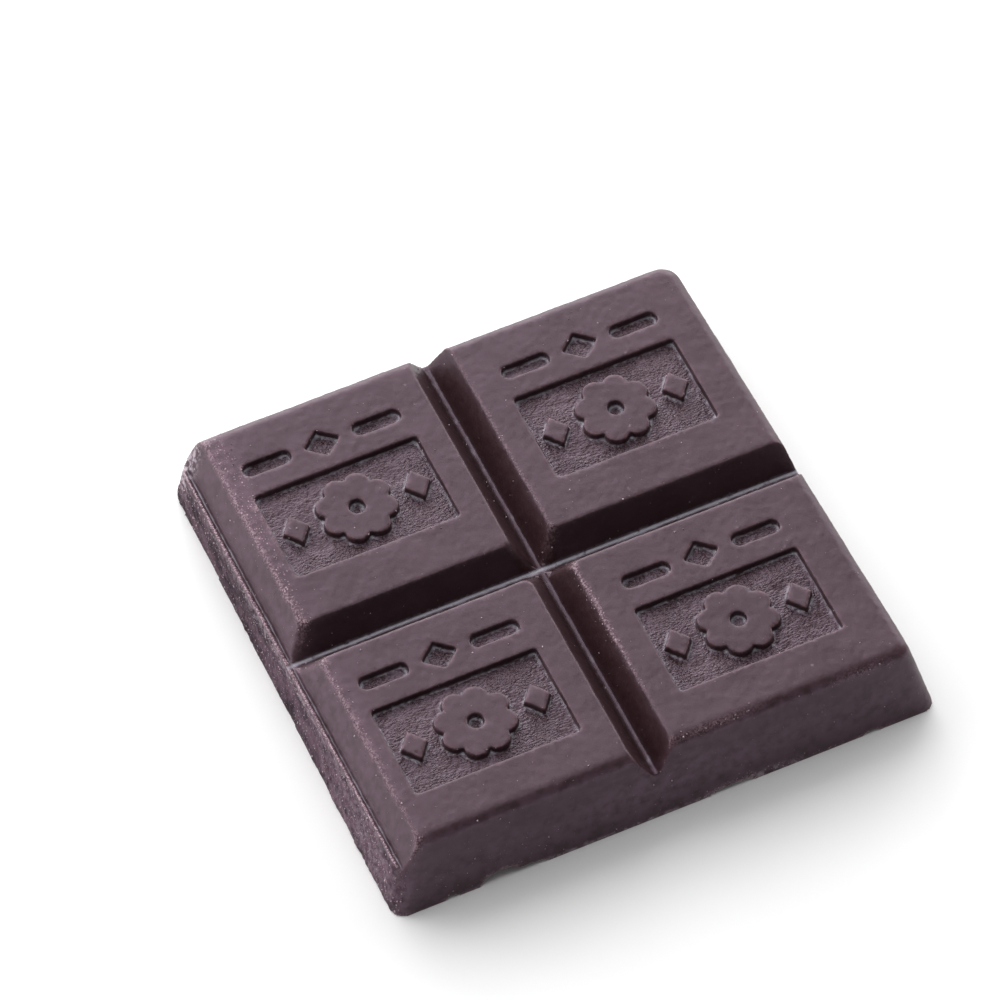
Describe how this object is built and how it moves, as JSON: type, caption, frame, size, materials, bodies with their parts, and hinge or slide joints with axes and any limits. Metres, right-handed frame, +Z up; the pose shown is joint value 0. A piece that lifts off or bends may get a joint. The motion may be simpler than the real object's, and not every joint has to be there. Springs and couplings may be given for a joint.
{
  "type": "chocolate bar",
  "caption": "Snapped-off end piece of a moulded dark chocolate bar: bevelled blocks between V-shaped snapping grooves, sunk patterned panels, three moulded walls, one snapped side and a flat underside.",
  "frame": {"origin": "middle of the bounding box, on the flat underside", "axes": "+X along the smooth front wall, from the snapped left side to the moulded right wall; +Y from the front wall to the back wall; +Z up, out of the patterned top"},
  "size_m": [0.058, 0.0564, 0.0088],
  "materials": {
    "dark_chocolate": "satin"
  },
  "bodies": {
    "root": {"chocolate_bar": "dark_chocolate"}
  },
  "joints": []
}
